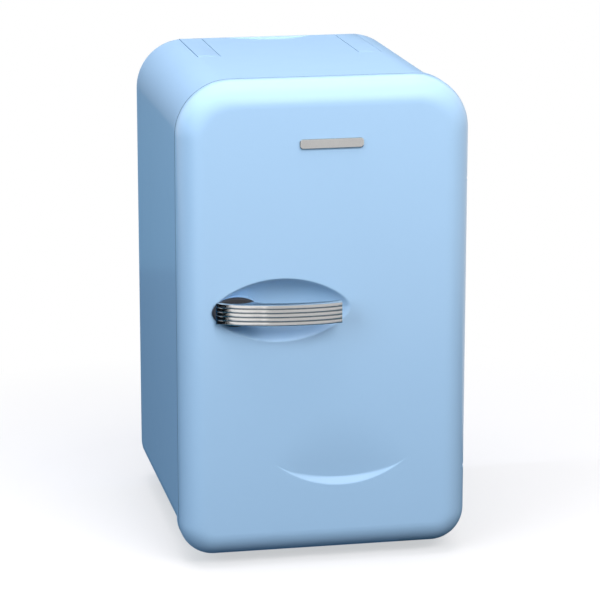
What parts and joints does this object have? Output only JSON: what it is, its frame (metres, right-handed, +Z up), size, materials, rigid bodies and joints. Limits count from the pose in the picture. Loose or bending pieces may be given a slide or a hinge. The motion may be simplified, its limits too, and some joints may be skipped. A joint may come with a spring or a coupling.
{
  "type": "mini fridge",
  "caption": "Small thermoelectric fridge with a rounded body, a hinged door with a cantilevered handle, and a folding carry handle on top.",
  "frame": {"origin": "centre of the outline seen from above, on the surface the feet stand on", "axes": "+Z up, -Y out of the door's face, +X towards the hinge side"},
  "size_m": [0.256, 0.3114, 0.43],
  "materials": {
    "body_colour": "gloss",
    "white_plastic": "semi-gloss",
    "cover_grey": "fine texture",
    "chrome": "polished",
    "steel": "zinc plated",
    "aluminium": "extruded",
    "black_plastic": "satin",
    "foam": "cellular",
    "rubber_grey": "matt",
    "seal_grey": "matt",
    "nylon": "satin",
    "clear_plastic": "clear",
    "board_green": "lacquered",
    "lamp_green": "clear",
    "lamp_red": "clear",
    "ceramic": "fired"
  },
  "bodies": {
    "cabinet": {"outer_case": "body_colour", "inner_liner": "white_plastic", "case_foam": "foam", "rear_cover": "cover_grey", "rear_cover_screws": "steel", "foot_front_left": "rubber_grey", "foot_front_right": "rubber_grey", "foot_rear_left": "rubber_grey", "foot_rear_right": "rubber_grey", "foot_screws": "steel", "hinge_bracket_lower": "steel", "hinge_bracket_upper": "steel", "hinge_screws": "steel", "carry_handle_pins": "steel", "shelf": "clear_plastic", "cold_cover": "white_plastic", "cold_fan_frame": "black_plastic", "cold_sink": "aluminium", "spacer_block": "aluminium", "peltier_module": "ceramic", "hot_sink": "aluminium", "hot_fan_frame": "black_plastic", "fan_screws": "steel", "power_board": "board_green", "board_standoffs": "nylon", "mode_switch_housing": "black_plastic", "ac_inlet": "black_plastic", "dc_inlet": "black_plastic", "cold_lamp": "lamp_green", "hot_lamp": "lamp_red"},
    "door": {"door_shell": "body_colour", "door_liner": "white_plastic", "door_foam": "foam", "door_gasket": "seal_grey", "hinge_bush_lower": "nylon", "hinge_bush_upper": "nylon", "door_rack_lower": "clear_plastic", "door_rack_upper": "clear_plastic", "handle_base": "black_plastic", "handle_bar": "chrome", "handle_screws": "steel", "badge_bar": "chrome"},
    "carry": {"carry_handle": "body_colour"},
    "cold_rotor": {"cold_fan_rotor": "black_plastic"},
    "hot_rotor": {"hot_fan_rotor": "black_plastic"},
    "rocker": {"mode_rocker": "black_plastic"}
  },
  "joints": [
    {"name": "door_hinge", "type": "hinge", "parent": "cabinet", "child": "door", "pos_m": [0.117, -0.11075, 0.205], "axis": [0, 0, 1], "range_deg": [0, 120]},
    {"name": "carry_handle_pivot", "type": "hinge", "parent": "cabinet", "child": "carry", "pos_m": [0, 0.04187, 0.4215], "axis": [1, 0, 0], "range_deg": [0, 90]},
    {"name": "cold_fan_spin", "type": "hinge", "parent": "cabinet", "child": "cold_rotor", "pos_m": [0, 0.02675, 0.272], "axis": [0, 1, 0], "continuous": true},
    {"name": "hot_fan_spin", "type": "hinge", "parent": "cabinet", "child": "hot_rotor", "pos_m": [0, 0.12195, 0.272], "axis": [0, 1, 0], "continuous": true},
    {"name": "mode_rocker_tilt", "type": "hinge", "parent": "cabinet", "child": "rocker", "pos_m": [-0.052, 0.15185, 0.062], "axis": [0, 0, 1], "range_deg": [-8, 8]}
  ]
}
